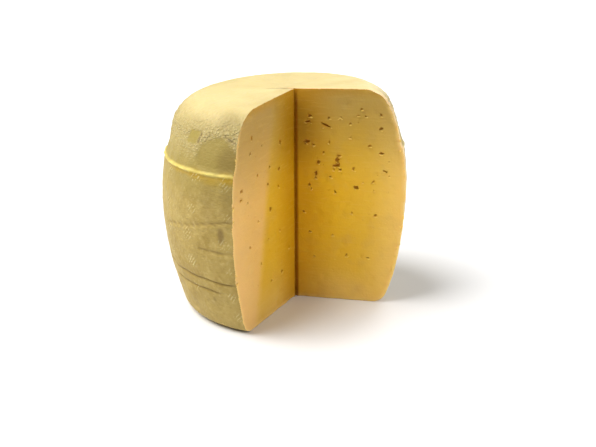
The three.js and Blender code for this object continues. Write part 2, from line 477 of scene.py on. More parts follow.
bpy.ops.mesh.select_all(action="SELECT")
bpy.ops.mesh.normals_make_consistent(inside=False)
bpy.ops.mesh.select_mode(type="FACE")
bpy.ops.mesh.select_all(action="DESELECT")
bpy.ops.object.mode_set(mode="OBJECT")
cut_ways = (heading(math.pi / 2), heading(cut_angle - math.pi / 2))
for face in knife.data.polygons:
    face.select = any(face.normal.dot(way) > same_way for way in cut_ways)
bpy.ops.object.mode_set(mode="EDIT")
bpy.ops.mesh.subdivide(number_cuts=knife_face_cuts)
bpy.ops.object.mode_set(mode="OBJECT")

# Both faces waver and have shallow tears, and the slit's two lips, where they begin, are ragged.
places = vertex_places(knife.data)
ways = vertex_ways(knife.data) * [1, 1, 0]
from_meeting = np.hypot(places[:, 0] - cut_meets.x, places[:, 1] - cut_meets.y)
waver = (1 - short_waver_share) * noise_at(places, long_waver_size)
waver += short_waver_share * noise_at(places, short_waver_size)
waver = knife_waver * waver + tear_depth * ease(noise_at(places, tear_size), *tear_limits)
waver *= ease(from_meeting, *waver_starts) * (from_meeting < waver_ends)
places += ways * waver[:, None]
lips = np.isclose(from_meeting, slit_mouth, atol=same_point)
raggedness = lip_raggedness * noise_at(places, lip_grain) * lips
places += np.array(heading(cut_angle / 2)) * raggedness[:, None]
move_vertices(knife.data, places)

# Rind and paste are finishes of the one piece, and the faces that each tool leaves are told apart by kind.
rind = bpy.data.materials.new("straw_rind")
paste = bpy.data.materials.new("golden_paste")
on_rind, on_cut, in_eyes, on_crumbs = range(4)


def give_finishes(piece, kind):
    """Gives a mesh the finish of each kind of surface, with all of its faces of one kind."""
    for finish in (rind, paste, paste, paste):
        piece.data.materials.append(finish)
    for face in piece.data.polygons:
        face.material_index = kind


def apply_modifier(kind, **settings):
    """Gives the active piece a modifier with these settings, and applies it."""
    modifier = bpy.context.active_object.modifiers.new(kind.lower(), kind)
    for name, value in settings.items():
        setattr(modifier, name, value)
    bpy.ops.object.modifier_apply(modifier=modifier.name)


def work_on_cheese(tool, operation):
    """Cuts a tool's shape out of the cheese, or joins it on. The new faces keep the tool's finish."""
    bpy.ops.object.select_all(action="DESELECT")
    bpy.context.view_layer.objects.active = cheese
    cheese.select_set(True)
    apply_modifier("BOOLEAN", operation=operation, solver="MANIFOLD", object=tool)
    bpy.data.objects.remove(tool)


give_finishes(cheese, on_rind)
give_finishes(knife, on_cut)
work_on_cheese(knife, "DIFFERENCE")

# Soft edges
# A knife leaves no razor edge on cheese: the paste and rind give a little where they meet.
# The points along those edges, and those near them, are smoothed by a weight that fades with distance.
edge_reach = 2.8 * mm
edge_passes = 7
edge_pull = 0.5
slit_kept_sharp = (mm, 4 * mm)
top_edge = (cheese_height - base_round, cheese_height - mm)
top_edge_crisper = 0.6
mesh = cheese.data


def touching(kind):
    """Which points touch faces of other kinds, and which touch faces of this kind."""
    touches = np.zeros((len(mesh.vertices), 2), dtype=bool)
    for face in mesh.polygons:
        touches[list(face.vertices), int(face.material_index == kind)] = True
    return touches.T


def from_rind_edge():
    """Distance of each point from the nearest edge where rind and paste meet."""
    places = vertex_places(mesh)
    on_edge = np.flatnonzero(touching(on_rind).all(axis=0))
    tree = KDTree(len(on_edge))
    for i in on_edge:
        tree.insert(places[i], int(i))
    tree.balance()
    return np.array([tree.find(p)[2] for p in places])


def from_slit(places):
    """Distance of each point from the upright plane of the slit, or from the nearer of its ends."""
    off = places[:, :2] - np.array(cut_meets[:2])
    along = off @ np.array(heading(slit_angle)[:2])
    aside = off @ np.array(heading(slit_angle + math.pi / 2)[:2])
    return np.hypot(aside, along - np.clip(along, 0, slit_length))


from_edge = from_rind_edge()
places = vertex_places(mesh)
give = (1 - from_edge / edge_reach) * ease(from_slit(places), *slit_kept_sharp)
give *= 1 - top_edge_crisper * ease(places[:, 2], *top_edge)
soft = cheese.vertex_groups.new(name="soft_edge")
for i in np.flatnonzero(give > 0):
    soft.add([int(i)], float(give[i]), "REPLACE")
apply_modifier("SMOOTH", factor=edge_pull, iterations=edge_passes, vertex_group=soft.name)
cheese.vertex_groups.clear()

# Eyes
# Small openings that gas and loose curd left in the paste, seen where the knife opened them. Each one is a
# lumpy hollow, half sunk in a cut face and taken away from it. The large ones are listed one by one and the
# rest are placed by a spread rule.

# Distance from the meeting line, height, length and width, in millimetres, and tilt in degrees.
right_eyes = [
    (8.4, 125.7, 4.4, 1.2, 10),
    (20.7, 123.9, 6.4, 1.5, -24),
    (8.0, 112.5, 3.6, 2.2, -15),
    (27.6, 96.6, 5.4, 2.0, 6),
    (28.6, 100.4, 2.6, 1.8, 70),
    (29.4, 103.4, 2.0, 1.2, 20),
    (14.2, 90.6, 3.6, 1.5, 78),
    (15.6, 98.4, 2.6, 1.6, 60),
    (57.7, 106.5, 2.8, 1.6, -35),
    (60.1, 94.4, 3.0, 1.3, -20),
    (41.4, 82.3, 3.0, 1.8, 25),
    (52.4, 86.6, 2.8, 1.2, 40),
]
left_eyes = [
    (21.0, 117.2, 2.8, 1.6, 60),
    (22.6, 99.2, 2.2, 1.4, 0),
    (37.5, 93.1, 2.2, 1.3, 10),
    (34.5, 75.0, 2.6, 1.8, 50),
    (56.7, 128.6, 2.4, 1.2, 70),
    (71.0, 92.6, 3.0, 1.0, 0),
    (69.8, 98.1, 2.0, 1.4, 20),
]

# Finer ones in the upper part of the right-hand face: distance and height.
right_pocks = [
    (62.7, 101.0), (55.2, 91.2), (51.2, 85.1), (45.6, 85.5), (44.1, 135.6), (42.1, 131.3), (46.9, 130.8),
    (42.1, 126.5), (37.1, 116.2), (22.8, 112.3), (18.9, 105.2), (15.1, 101.3), (13.7, 87.4), (24.0, 88.7),
    (10.2, 129.8), (22.8, 129.0), (30.3, 129.3), (53.1, 80.5), (62.9, 90.9), (9.4, 82.3), (5.8, 63.3),
    (57.1, 132.0), (57.0, 123.2), (26.2, 93.8), (30.0, 94.0),
]
pock_lengths = (1.1, 2.0)
pock_widths = (0.5, 0.9)
spread_count = 16
spread_lengths = (1.2, 2.2)
fine_count = 90
fine_lengths = (0.4, 1.1)
eye_inset = 9
left_spread_start = 40
spread_steps = (0.7548776662, 0.5698402910, 0.3819660113, 0.2360679775)
spread_width = 0.65
eyes_apart = 0.7
eye_depth = 0.75
slit_eye_from = 3
slit_eye_depth = 1.4
eye_roughness = 0.1 * mm
eye_grain = 0.2 * mm
eye_faces_kept = 0.15
side_hollows = 5
side_along = 0.5
side_aside = 0.6
side_aside_in_slit = 0.4
side_sizes = (0.5, 0.95)
side_lengths = (1.0, 1.6)
side_depth = 0.6
side_sunk = 0.2


def spread_eye(place, lengths):
    """One row of the even spread: each value climbs by an irrational step and keeps only the fraction."""
    along, up, longer, turned = (place * step % 1 for step in spread_steps)
    eye_height = 2 * eye_inset + (cheese_height / mm - 4 * eye_inset) * up
    reach = float(wall_radius(eye_height * mm)) / mm - cut_meets.length / mm - eye_inset
    length = lengths[0] + (lengths[1] - lengths[0]) * longer
    return eye_inset + (reach - eye_inset) * along, eye_height, length, spread_width * length, 180 * turned


def face_eyes(placed, first):
    """All the eyes of one face, without any that would run into one before it."""
    rows = list(placed)
    candidates = [spread_eye(first + i + 1, spread_lengths) for i in range(spread_count)]
    candidates += [spread_eye(first + spread_count + i + 1, fine_lengths) for i in range(fine_count)]
    for row in candidates:
        if all(math.dist(row[:2], other[:2]) > eyes_apart * (row[2] + other[2]) for other in rows):
            rows.append(row)
    return rows


def add_lobe(lobes, spot, face_turn, length, depth, width, tilt):
    """Notes one flattened ball down, as the matrix that turns a round one into it."""
    turn = Matrix.Rotation(face_turn, 4, "Z") @ Matrix.Rotation(-math.radians(tilt), 4, "Y")
    lobes.append(Matrix.Translation(spot) @ turn @ Matrix.Diagonal((length / 2, depth, width / 2, 1)))


def on_face(face_turn, along, height):
    """A place on a cut face, from its distance and height in millimetres."""
    return cut_meets + heading(face_turn) * along * mm + Vector((0, 0, height * mm))


def add_eye(lobes, row, face_turn, inward, draw):
    """Adds one eye: its main hollow, and smaller ones that open off it where it is large."""
    along, eye_height, length, width, tilt = row
    spot = on_face(face_turn, along, eye_height)
    is_slit = length > slit_eye_from * width
    depth = (slit_eye_depth if is_slit else eye_depth) * width * mm
    add_lobe(lobes, spot, face_turn, length * mm, depth, width * mm, tilt)
    lean = math.radians(tilt)
    for _ in range(side_hollows if length > spread_lengths[0] else 0):
        along_eye = draw.uniform(-side_along, side_along) * length
        off_eye = draw.uniform(-side_aside, side_aside) * width * (side_aside_in_slit if is_slit else 1)
        aside = along_eye * math.cos(lean) - off_eye * math.sin(lean)
        up = along_eye * math.sin(lean) + off_eye * math.cos(lean)
        size = draw.uniform(*side_sizes) * width * mm
        off = heading(face_turn) * aside * mm + Vector((0, 0, up * mm)) + heading(inward) * side_sunk * depth
        lobe_length = draw.uniform(*side_lengths) * size
        add_lobe(lobes, spot + off, face_turn, lobe_length, side_depth * size, size, draw.uniform(0, 180))


def joined_lobes(lobes, kind):
    """All the balls in one mesh, roughened, with those that overlap joined into one skin."""
    bpy.ops.object.select_all(action="DESELECT")
    bpy.ops.mesh.primitive_ico_sphere_add(subdivisions=3, radius=1)
    made = bpy.context.active_object
    ball = vertex_places(made.data)
    sides = np.array([face.vertices for face in made.data.polygons])
    points = np.vstack([ball @ np.array(lobe.to_3x3()).T + np.array(lobe.translation) for lobe in lobes])
    triangles = np.vstack([sides + i * len(ball) for i in range(len(lobes))])
    made.data.clear_geometry()
    made.data.from_pydata(points.tolist(), [], triangles.tolist())
    bpy.ops.object.mode_set(mode="EDIT")
    bpy.ops.mesh.select_all(action="SELECT")
    bpy.ops.transform.vertex_random(offset=eye_roughness, uniform=0.3, normal=0.3, seed=3)
    bpy.ops.object.mode_set(mode="OBJECT")
    apply_modifier("REMESH", mode="VOXEL", voxel_size=eye_grain)
    apply_modifier("DECIMATE", ratio=eye_faces_kept)
    give_finishes(made, kind)
    return made


draw = random.Random(7)
pocks = []
for along, pock_height in right_pocks:
    length = draw.uniform(*pock_lengths)
    width = draw.uniform(*pock_widths) * length
    pocks.append((along, pock_height, length, width, draw.uniform(0, 180)))
right_rows = face_eyes(right_eyes + pocks, 0)
left_rows = face_eyes(left_eyes, left_spread_start)
faces = ((right_rows, 0, math.pi / 2), (left_rows, cut_angle, cut_angle - math.pi / 2))
hollows = []
for rows, face_turn, inward in faces:
    for row in rows:
        add_eye(hollows, row, face_turn, inward, draw)
work_on_cheese(joined_lobes(hollows, in_eyes), "DIFFERENCE")

# Crumbs
# Bits of curd that the knife pulled up: small lumps at the lower lip of each eye, and a crumbly crust along
# the edge where each cut face meets the rind. They are lumpy balls, half sunk in the face and joined to it.
lip_crumbs = 2
lip_crumb_sizes = (0.5, 1.0)
lip_crumb_lengths = (1.8, 3.2)
lip_crumb_tilts = (-40, 40)
lip_crumb_places = (-0.4, 0.6)
lip_below_middle = 0.6
lip_drops = (0.3, 1)
edge_crumbs = (30, 12)
edge_crumb_sizes = (0.4, 1.6)
edge_crumb_lengths = (1, 2.5)
edge_crumb_tilts = (45, 135)
edge_crumb_heights = (20, 132)
edge_crumb_insets = (0.3, 2.2)
crumb_depth = 0.4
sharp_from = math.radians(60)


def edge_distance(face_turn, height):
    """How far from the meeting line a cut face reaches the plain wall at a height, in millimetres."""
    rise = max(height * mm - cheese_height + shoulder_round, 0)
    shoulder = shoulder_centre + math.sqrt(max(shoulder_round**2 - rise**2, 0))
    radius = shoulder if rise > shoulder_round * math.sin(shoulder_angle) else float(wall_radius(height * mm))
    ahead = cut_meets.dot(heading(face_turn))
    return (math.sqrt(ahead**2 - cut_meets.length_squared + radius**2) - ahead) / mm


crumbs = []
for (rows, face_turn, _), edge_count in zip(faces, edge_crumbs):
    for along, eye_height, length, width, tilt in rows:
        for _ in range(lip_crumbs if length > spread_lengths[0] else 0):
            aside = draw.uniform(*lip_crumb_places) * length
            rise = abs(math.sin(math.radians(tilt))) * length / 2
            drop = lip_below_middle * width + rise * draw.uniform(*lip_drops)
            size = draw.uniform(*lip_crumb_sizes) * mm
            spot = on_face(face_turn, along + aside, eye_height - drop)
            lip_length = draw.uniform(*lip_crumb_lengths) * size
            lip_tilt = draw.uniform(*lip_crumb_tilts)
            add_lobe(crumbs, spot, face_turn, lip_length, crumb_depth * size, size, lip_tilt)
    for _ in range(edge_count):
        crumb_height = draw.uniform(*edge_crumb_heights)
        size = draw.uniform(*edge_crumb_sizes)
        reach = edge_distance(face_turn, crumb_height) - draw.uniform(*edge_crumb_insets)
        spot = on_face(face_turn, reach, crumb_height)
        spot.z += float(top_climb(np.array([spot]))[0])
        crumb_length = draw.uniform(*edge_crumb_lengths) * size * mm
        crumb_tilt = draw.uniform(*edge_crumb_tilts)
        add_lobe(crumbs, spot, face_turn, crumb_length, crumb_depth * size * mm, size * mm, crumb_tilt)
work_on_cheese(joined_lobes(crumbs, on_crumbs), "UNION")
bpy.ops.object.shade_smooth_by_angle(angle=sharp_from)

# Marks for the finishes
# Each point of the mesh carries how far it lies in each mark. On the rind these are the relief's own marks,
# stains and painted shade, weave prints, the painted highlight on the top and the painted light beside the
# right-hand cut. In the paste they are the depth below the rind, painted shade in the eyes, in the slit, on
# the upper part and in the corner at the meeting line, painted highlight on the crumbs, and the peach outer
# part and the painted shade on the inner part of the left-hand face.
dent_pales = (116 * mm, 129 * mm)
dent_paled = 0.4
stain_edge = (0.3, 1.2)
seam_stain_edge = (0.2, 1.3)
weave_edge = (0.5, 1.1)
stain_wander = 0.35
stain_wander_size = 12 * mm
upper_rind_from = (80 * mm, 118 * mm)
upper_rind_wander = 4 * mm
pale_top_from = (134 * mm, 152 * mm)
pale_top_wander = 2 * mm
pale_top_drop = 3 * mm
pale_top_drops_at = -148
rim_reach = 2.2 * mm
rim_ends = (130 * mm, 142 * mm)
painted_light_fades = (2.7 * mm, 9 * mm)
painted_light_facing = (0.75, 0.95)
deepest_paste = 75 * mm
upper_paste_shade_from = (75 * mm, 140 * mm)
under_top_from = (139 * mm, 145 * mm)
tip_reach = 32 * mm
tip_top_middle = 122 * mm
tip_top_half_height = 40 * mm
slit_side = (1.0 * mm, 1.5 * mm)
slit_pales = (137 * mm, 143 * mm)
slit_paled = 0.7
eye_dark_depth = 1.2 * mm
halo_reach = 1.2
halo_edge = (0.4, 1.2)
halo_depth = 4 * mm
smudged_within = 30
left_face_depth = 2 * mm
peach_from = 29 * mm
peach_from_height = 131 * mm
peach_lean = 0.19
peach_edge = (-5 * mm, 6 * mm)
drag_lost_on_left = 0.8

# Brown stains, and painted shade: the broad, weak spots between -113 and -97 degrees darken the wall towards
# the cut. Angle, height, half width, half height and strength, in degrees and millimetres.
stains_and_painted_shade = [
    (-107, 71.8, 2.5, 5.4, 1.0),
    (-115, 24.0, 1.4, 2.0, 0.8),
    (-104, 117.0, 13.0, 13.0, 0.55),
    (-100, 96.0, 16.0, 18.0, 0.5),
    (-109, 140.0, 12.0, 5.0, 0.3),
    (-97, 36.0, 8.0, 42.0, 0.32),
    (-113, 93.0, 10.0, 16.0, 0.35),
    (75, 60.0, 3.0, 5.5, 0.8),
    (140, 98.0, 9.0, 6.0, 0.3),
    (20, 84.0, 2.5, 4.0, 0.7),
    (180, 45.0, 8.0, 7.0, 0.25),
]

# Ochre stains along the underside of the seam, in the same terms.
seam_stains = [
    (-134, 107.8, 11.0, 2.8, 0.8),
    (-121, 108.0, 11.0, 3.6, 0.9),
    (-112, 106.0, 9.0, 3.8, 0.7),
    (-103, 108.4, 11.0, 3.8, 1.0),
    (24, 107.0, 10.0, 2.4, 0.8),
    (52, 105.6, 8.0, 2.0, 0.9),
    (95, 104.6, 12.0, 2.4, 0.7),
    (128, 104.6, 8.0, 2.4, 0.9),
    (170, 106.0, 9.0, 2.0, 0.8),
]

# The mould's holes printed the cloth's weave on the wall in small patches, in columns and rows.
weave_columns = range(-164, 180, 20)
weave_column_drift = 3
weave_rows = (13, 30, 48, 67, 85, 104)
weave_row_drift = 2
weave_sizes = (3.0, 5.5)
weave_strengths = (0.2, 1)


def set_mark(name, values):
    """Stores one number for each point of the mesh under this name."""
    mark = mesh.attributes.new(name, "FLOAT", "POINT")
    mark.data.foreach_set("value", np.clip(values, 0, 1).astype(np.float32))


def only_on(kind):
    """1 at each point that only touches faces of this kind, and 0 at the others."""
    others, own = touching(kind)
    return own * ~others


def near_eyes(rows, off, face_turn):
    """How close each point, by its place from the meeting line, lies to one of the large eyes of a face."""
    field = np.zeros(len(off))
    along = off @ np.array(heading(face_turn)) / mm
    for eye_along, eye_height, length, width, tilt in rows:
        aside = along - eye_along
        up = off[:, 2] / mm - eye_height
        lean = math.radians(tilt)
        long_way = (aside * math.cos(lean) + up * math.sin(lean)) / (length / 2 + halo_reach)
        short_way = (up * math.cos(lean) - aside * math.sin(lean)) / (width / 2 + halo_reach)
        field = np.maximum(field, 1 - ease(np.hypot(long_way, short_way), *halo_edge))
    behind = off @ np.array(heading(face_turn + math.pi / 2))
    return field * (np.abs(behind) < halo_depth)


places = vertex_places(mesh)
places[:, 2] -= top_climb(places)
angle = np.arctan2(places[:, 1], places[:, 0])
radius = np.hypot(places[:, 0], places[:, 1])
height = places[:, 2]
wander = noise_at(places, stain_wander_size)
stain_edge_wander = stain_wander * wander
marks = rind_marks(places)
for name in ("seam_crest", "seam_shadow", "crease", "crack", "ochre_patch", "puckered"):
    set_mark(name, marks[name])
set_mark("dent", marks["dent"] * (1 - dent_paled * ease(height, *dent_pales)))
# Brown stains, and painted shade from the broad, weak spots that darken the wall towards the cut.
set_mark("stain_and_painted_shade", spot_field(angle, height, stains_and_painted_shade, stain_edge_wander, stain_edge))
set_mark("seam_stain", spot_field(angle, height, seam_stains, stain_edge_wander, seam_stain_edge))
weaves = []
for column in weave_columns:
    for row in weave_rows:
        weave_angle = column + draw.uniform(-weave_column_drift, weave_column_drift)
        weave_height = row + draw.uniform(-weave_row_drift, weave_row_drift)
        half_sizes = (draw.uniform(*weave_sizes), draw.uniform(*weave_sizes))
        weaves.append((weave_angle, weave_height, *half_sizes, draw.uniform(*weave_strengths)))
set_mark("weave", spot_field(angle, height, weaves, stain_edge_wander, weave_edge))
set_mark("upper_rind", ease(height + upper_rind_wander * wander, *upper_rind_from))
# The pale top is painted highlight: the top and the upper shoulder are made paler where light from above
# falls.
pale_drop = pale_top_drop * hump(around(angle, pale_top_drops_at))
set_mark("top_painted_highlight", ease(height + pale_top_wander * wander + pale_drop, *pale_top_from))
from_edge = from_rind_edge()
set_mark("rim", (1 - from_edge / rim_reach) * (1 - ease(height, *rim_ends)))
# Painted light: the rind beside the right-hand cut edge faces away from the main light, and is made paler
# there.
painted_light_near_edge = 1 - ease(from_edge, *painted_light_fades)
set_mark("right_rind_painted_light", painted_light_near_edge * ease(np.cos(angle), *painted_light_facing))

# The distance round the wall is counted from the middle of the cut, so it has no jump on the rind.
wall_place = mesh.attributes.new("wall_place", "FLOAT_VECTOR", "POINT")
round_wall = around(angle, math.degrees(cut_angle) / 2 + 180) * belly_radius
unrolled = np.column_stack([round_wall, height, np.zeros_like(height)])
wall_place.data.foreach_set("vector", unrolled.astype(np.float32).ravel())

on_shoulder = (radius > shoulder_centre) & (height > cheese_height - shoulder_round)
shoulder_depth = shoulder_round - np.hypot(radius - shoulder_centre, height - cheese_height + shoulder_round)
wall_depth = wall_radius(np.clip(height, 0, cheese_height - shoulder_round)) - radius
plain_depth = np.minimum(wall_depth, np.minimum(cheese_height - height, height))
set_mark("under_rind", np.where(on_shoulder, shoulder_depth, plain_depth) / deepest_paste)
# Painted shade: the cut faces are darker towards the top.
set_mark("upper_paste_shade", ease(height, *upper_paste_shade_from))
off = vertex_places(mesh) - np.array(cut_meets)
# Painted shade in the corner where the cut faces meet, darker in its upper part and on the left-hand face.
near_tip_shade = 1 - ease(np.hypot(off[:, 0], off[:, 1]), 0, tip_reach)
set_mark("near_tip_shade", near_tip_shade)
set_mark("under_top", ease(height, *under_top_from))
set_mark("tip_top_shade", near_tip_shade * hump((height - tip_top_middle) / tip_top_half_height))
# Painted shade in the slit, lighter near the top.
in_slit_shade = 1 - ease(from_slit(vertex_places(mesh)), *slit_side)
set_mark("in_slit_shade", in_slit_shade * (1 - slit_paled * ease(height, *slit_pales)))
behind_right = off @ np.array(heading(math.pi / 2))
behind_left = off @ np.array(heading(cut_angle - math.pi / 2))
# Painted shade inside the eyes, darker the deeper they go.
set_mark("in_eye_shade", only_on(in_eyes) * ease(np.maximum(behind_right, behind_left), 0, eye_dark_depth))
# Painted highlight: the crumbs are paler than the paste around them.
set_mark("crumb_highlight", only_on(on_crumbs))
smudged = [row for row in right_eyes if row[0] < smudged_within]
set_mark("by_eye", np.maximum(near_eyes(smudged, off, 0), near_eyes(left_eyes, off, cut_angle)))
along_left = off @ np.array(heading(cut_angle))
peach_line = peach_from + (peach_from_height - height) * peach_lean
on_left = behind_left > -left_face_depth
peach = ease(along_left - peach_line, *peach_edge)
set_mark("left_peach", peach * on_left)
set_mark("dragged", 1 - drag_lost_on_left * on_left)
set_mark("left_tip_shade", near_tip_shade * on_left * (along_left > 0))
# Painted shade on the inner part of the left-hand face.
set_mark("left_inner_shade", (1 - peach) * on_left * (along_left > 0))

# The eyes and crumbs are paste like the rest of the cut, so their own finishes are taken off again.
for face in mesh.polygons:
    face.material_index = min(face.material_index, on_cut)
for _ in (in_eyes, on_crumbs):
    mesh.materials.pop()

# Straw rind
# Dry pressed skin: straw with khaki clouds, fine specks and darker stains. Painted highlight makes the top
# paler and lies on the seam's crest, painted shade darkens the creases, the cracks and the wall towards the
# cut, and painted light makes the rind beside the right-hand cut paler. The puckers under the shoulder have
# painted highlight on their crowns and painted shade in their gaps, short cream strokes are prints of the
# cloth, and the slit shows as a thin split in the top, drawn in painted shade.
cloud_size = 30 * mm
mottle_size = 6 * mm
speckle_size = 2.6 * mm
bubble_size = 2.8 * mm
bubble_push = 2 * mm
bubble_push_size = 4 * mm
crown_from = (0.45, 0.1)
crown_rise = 2
gap_from = (0.4, 0.75)
stroke_apart = 2.1 * mm
stroke_slant = math.radians(40)
stroke_wobble = 3
stroke_edge = (0.55, 0.9)
stroke_breaks = (0.42, 0.56)
stroke_break_size = 2.2 * mm
wave_repeat = 0.314
split_side = (0.4 * mm, 1.3 * mm)
split_end = (0.5 * slit_length, 1.4 * slit_length)
split_share = 0.6
skin_flatness = (1, 1, 1.8)
skin_bump_size = 3 * mm
skin_bump_height = 0.24 * mm
skin_grain_size = 2 * mm
skin_grain_height = 0.3 * mm
roughness_from = (0.3, 0.7)
skin_roughness = (0.5, 0.68)


def colour(red, green, blue):
    """A screen colour, each part from 0 to 255, as the linear colour that a shader takes."""
    parts = [c / 255 for c in (red, green, blue)]
    return [c / 12.92 if c < 0.04045 else ((c + 0.055) / 1.055) ** 2.4 for c in parts] + [1]


# These work in the node tree that is open as tree: the rind's here, and then the paste's.
def plug(value, socket):
    """Links another node's output to a socket, or sets the socket to a plain value."""
    if isinstance(value, bpy.types.NodeSocket):
        tree.links.new(value, socket)
    else:
        socket.default_value = value


def add_node(kind, settings=None, **inputs):
    """Adds a shader node with these settings and inputs."""
    made = tree.nodes.new("ShaderNode" + kind)
    for name, value in (settings or {}).items():
        setattr(made, name, value)
    for name, value in inputs.items():
        plug(value, made.inputs[name.replace("_", " ")])
    return made


def mark_of(name):
    """The mark of this name, as a number from 0 to 1."""
    return add_node("Attribute", {"attribute_name": name}).outputs["Fac"]


def noise_of(size, detail=3.0, stretch=(1, 1, 1)):
    """Soft noise over the piece with lumps of this size, from 0 to 1."""
    place = add_node("TexCoord").outputs["Object"]
    turned = add_node("Mapping", Vector=place, Scale=stretch).outputs["Vector"]
    return add_node("TexNoise", Vector=turned, Scale=1 / size, Detail=detail).outputs["Fac"]


def stepped(value, low, high, least=0.0, most=1.0):
    """A smooth step of a number from least at low to most at high."""
    made = add_node("MapRange", {"interpolation_type": "SMOOTHSTEP"}, Value=value)
    for name, setting in (("From Min", low), ("From Max", high), ("To Min", least), ("To Max", most)):
        made.inputs[name].default_value = setting
    return made.outputs["Result"]


def maths(operation, first, second):
    """Two numbers put together."""
    made = add_node("Math", {"operation": operation})
    plug(first, made.inputs[0])
    plug(second, made.inputs[1])
    return made.outputs["Value"]


def times(first, second):
    """The product of two numbers."""
    return maths("MULTIPLY", first, second)


def tinted(base, tint, share):
    """The base colour with this share of a tint, which is a screen colour, over it."""
    made = add_node("Mix", {"data_type": "RGBA"})
    for place, value in ((0, share), (6, base), (7, colour(*tint))):
        plug(value, made.inputs[place])
    return made.outputs[2]


def set_surface(shader, shine, glow, glow_colours, glow_reach):
    """Sets how much a surface shines, and how light spreads under it: its share, colours and reach."""
    shader.inputs["Specular IOR Level"].default_value = shine
    shader.inputs["Subsurface Weight"].default_value = glow
    shader.inputs["Subsurface Radius"].default_value = glow_colours
    shader.inputs["Subsurface Scale"].default_value = glow_reach


def add_bumps(shader, layers):
    """Lays bumps one over the other. Each has its heights, strength and full height."""
    under = None
    for heights, strength, full_height in layers:
        bump = add_node("Bump", Height=heights, Strength=strength, Distance=full_height)
        if under:
            plug(under, bump.inputs["Normal"])
        under = bump.outputs["Normal"]
    plug(under, shader.inputs["Normal"])


rind.use_nodes = True
tree = rind.node_tree
skin = tree.nodes["Principled BSDF"]
straw = (173, 148, 77)
cloth_stroke = (230, 214, 154)
split_shade_brown = (140, 110, 62)

# Each mark of the skin, with its tint and the share of the tint. The tones lie under the puckers, and the
# marks lie over them.
skin_tones = (
    ("upper_rind", (156, 138, 66), 0.7),
    ("dent", (150, 129, 58), 0.7),
    ("ochre_patch", (160, 140, 60), 0.75),
    # Painted highlight on the top.
    ("top_painted_highlight", (231, 210, 149), 1.0),
)
skin_marks = (
    # Painted shade: these darken the creases and the cracks.
    ("crease", (118, 92, 40), 0.7),
    ("crack", (92, 68, 30), 0.85),
    # Stains, and painted shade that darkens the wall towards the cut.
    ("stain_and_painted_shade", (112, 88, 40), 0.7),
    ("seam_shadow", (168, 136, 54), 0.55),
    ("seam_stain", (168, 134, 16), 0.8),
    # Painted highlight along the seam's crest.
    ("seam_crest", (238, 218, 118), 0.88),
    # Painted light on the rind beside the right-hand cut edge.
    ("right_rind_painted_light", (238, 200, 136), 0.9),
)


def with_tints(tone, tints):
    """The tone with tints over it. Each row has a mark's name or a number, and its tint and share."""
    for mark, tint, share in tints:
        shown = mark_of(mark) if isinstance(mark, str) else mark
        tone = tinted(tone, tint, times(shown, share))
    return tone


clouds = noise_of(cloud_size, 3)
mottle = noise_of(mottle_size, 3)
speckle = noise_of(speckle_size, 2)

# Clouds and specks: the noise, where in it the tint begins and is full, the tint, and its share.
skin_patches = (
    (clouds, 0.40, 0.66, (163, 137, 65), 1.0),
    (mottle, 0.46, 0.70, (196, 172, 106), 0.34),
    (speckle, 0.52, 0.72, (140, 114, 50), 0.32),
    (speckle, 0.46, 0.28, (206, 184, 122), 0.24),
)
tone = colour(*straw)
for patchy, start, full, tint, share in skin_patches:
    tone = tinted(tone, tint, stepped(patchy, start, full, 0, share))
tone = with_tints(tone, skin_tones)

# The puckers are drawn out as small bubbles, with painted highlight on their crowns and painted shade in the
# gaps.
wall_spot = add_node("Attribute", {"attribute_name": "wall_place"}).outputs["Vector"]
push = add_node("TexNoise", Vector=wall_spot, Scale=1 / bubble_push_size, Detail=1)
pushed = add_node("VectorMath", {"operation": "MULTIPLY_ADD"})
plug(push.outputs["Color"], pushed.inputs[0])
pushed.inputs[1].default_value = (bubble_push, bubble_push, 0)
plug(wall_spot, pushed.inputs[2])
squeezed = add_node("Mapping", Vector=pushed.outputs["Vector"], Scale=(1, wrinkle_flatness, 1))
bubbles = add_node("TexVoronoi", {"voronoi_dimensions": "2D"}, Scale=1 / bubble_size)
plug(squeezed.outputs["Vector"], bubbles.inputs["Vector"])
puckered = mark_of("puckered")
crown_highlight = times(puckered, stepped(bubbles.outputs["Distance"], *crown_from))
gap_shade = times(puckered, stepped(bubbles.outputs["Distance"], *gap_from))
pucker_tints = (
    (puckered, (206, 188, 136), 0.42),
    (gap_shade, (142, 116, 54), 0.3),
    (crown_highlight, (228, 210, 156), 0.36),
)
tone = with_tints(tone, pucker_tints)
tone = with_tints(tone, skin_marks)

# The cloth's prints are rows of short slanted strokes. A wave of scale 1 comes back after wave_repeat.
slanted = add_node("Mapping", Vector=wall_spot, Rotation=(0, 0, stroke_slant))
strokes = add_node("TexWave", Vector=slanted.outputs["Vector"], Distortion=stroke_wobble)
strokes.inputs["Scale"].default_value = wave_repeat / stroke_apart
broken = stepped(noise_of(stroke_break_size, 1), *stroke_breaks)
stroke = times(stepped(strokes.outputs["Fac"], *stroke_edge), broken)
weave = times(mark_of("weave"), stroke)
tone = with_tints(tone, ((weave, cloth_stroke, 0.6),))

# The split in the top is painted shade: a dark line along the slit that runs on past the slit's end and
# fades.
top_place = add_node("TexCoord").outputs["Object"]
on_slit = add_node("Mapping", {"vector_type": "TEXTURE"}, Vector=top_place, Location=cut_meets)
on_slit.inputs["Rotation"].default_value = (0, 0, slit_angle)
slit_place = add_node("SeparateXYZ", Vector=on_slit.outputs["Vector"])
aside = maths("ABSOLUTE", slit_place.outputs["Y"], 0)
split = stepped(aside, *split_side, 1, 0)
fading = stepped(slit_place.outputs["X"], *split_end, split_share, 0)
split = times(split, fading)
split = times(split, mark_of("top_painted_highlight"))
tone = tinted(tone, split_shade_brown, split)

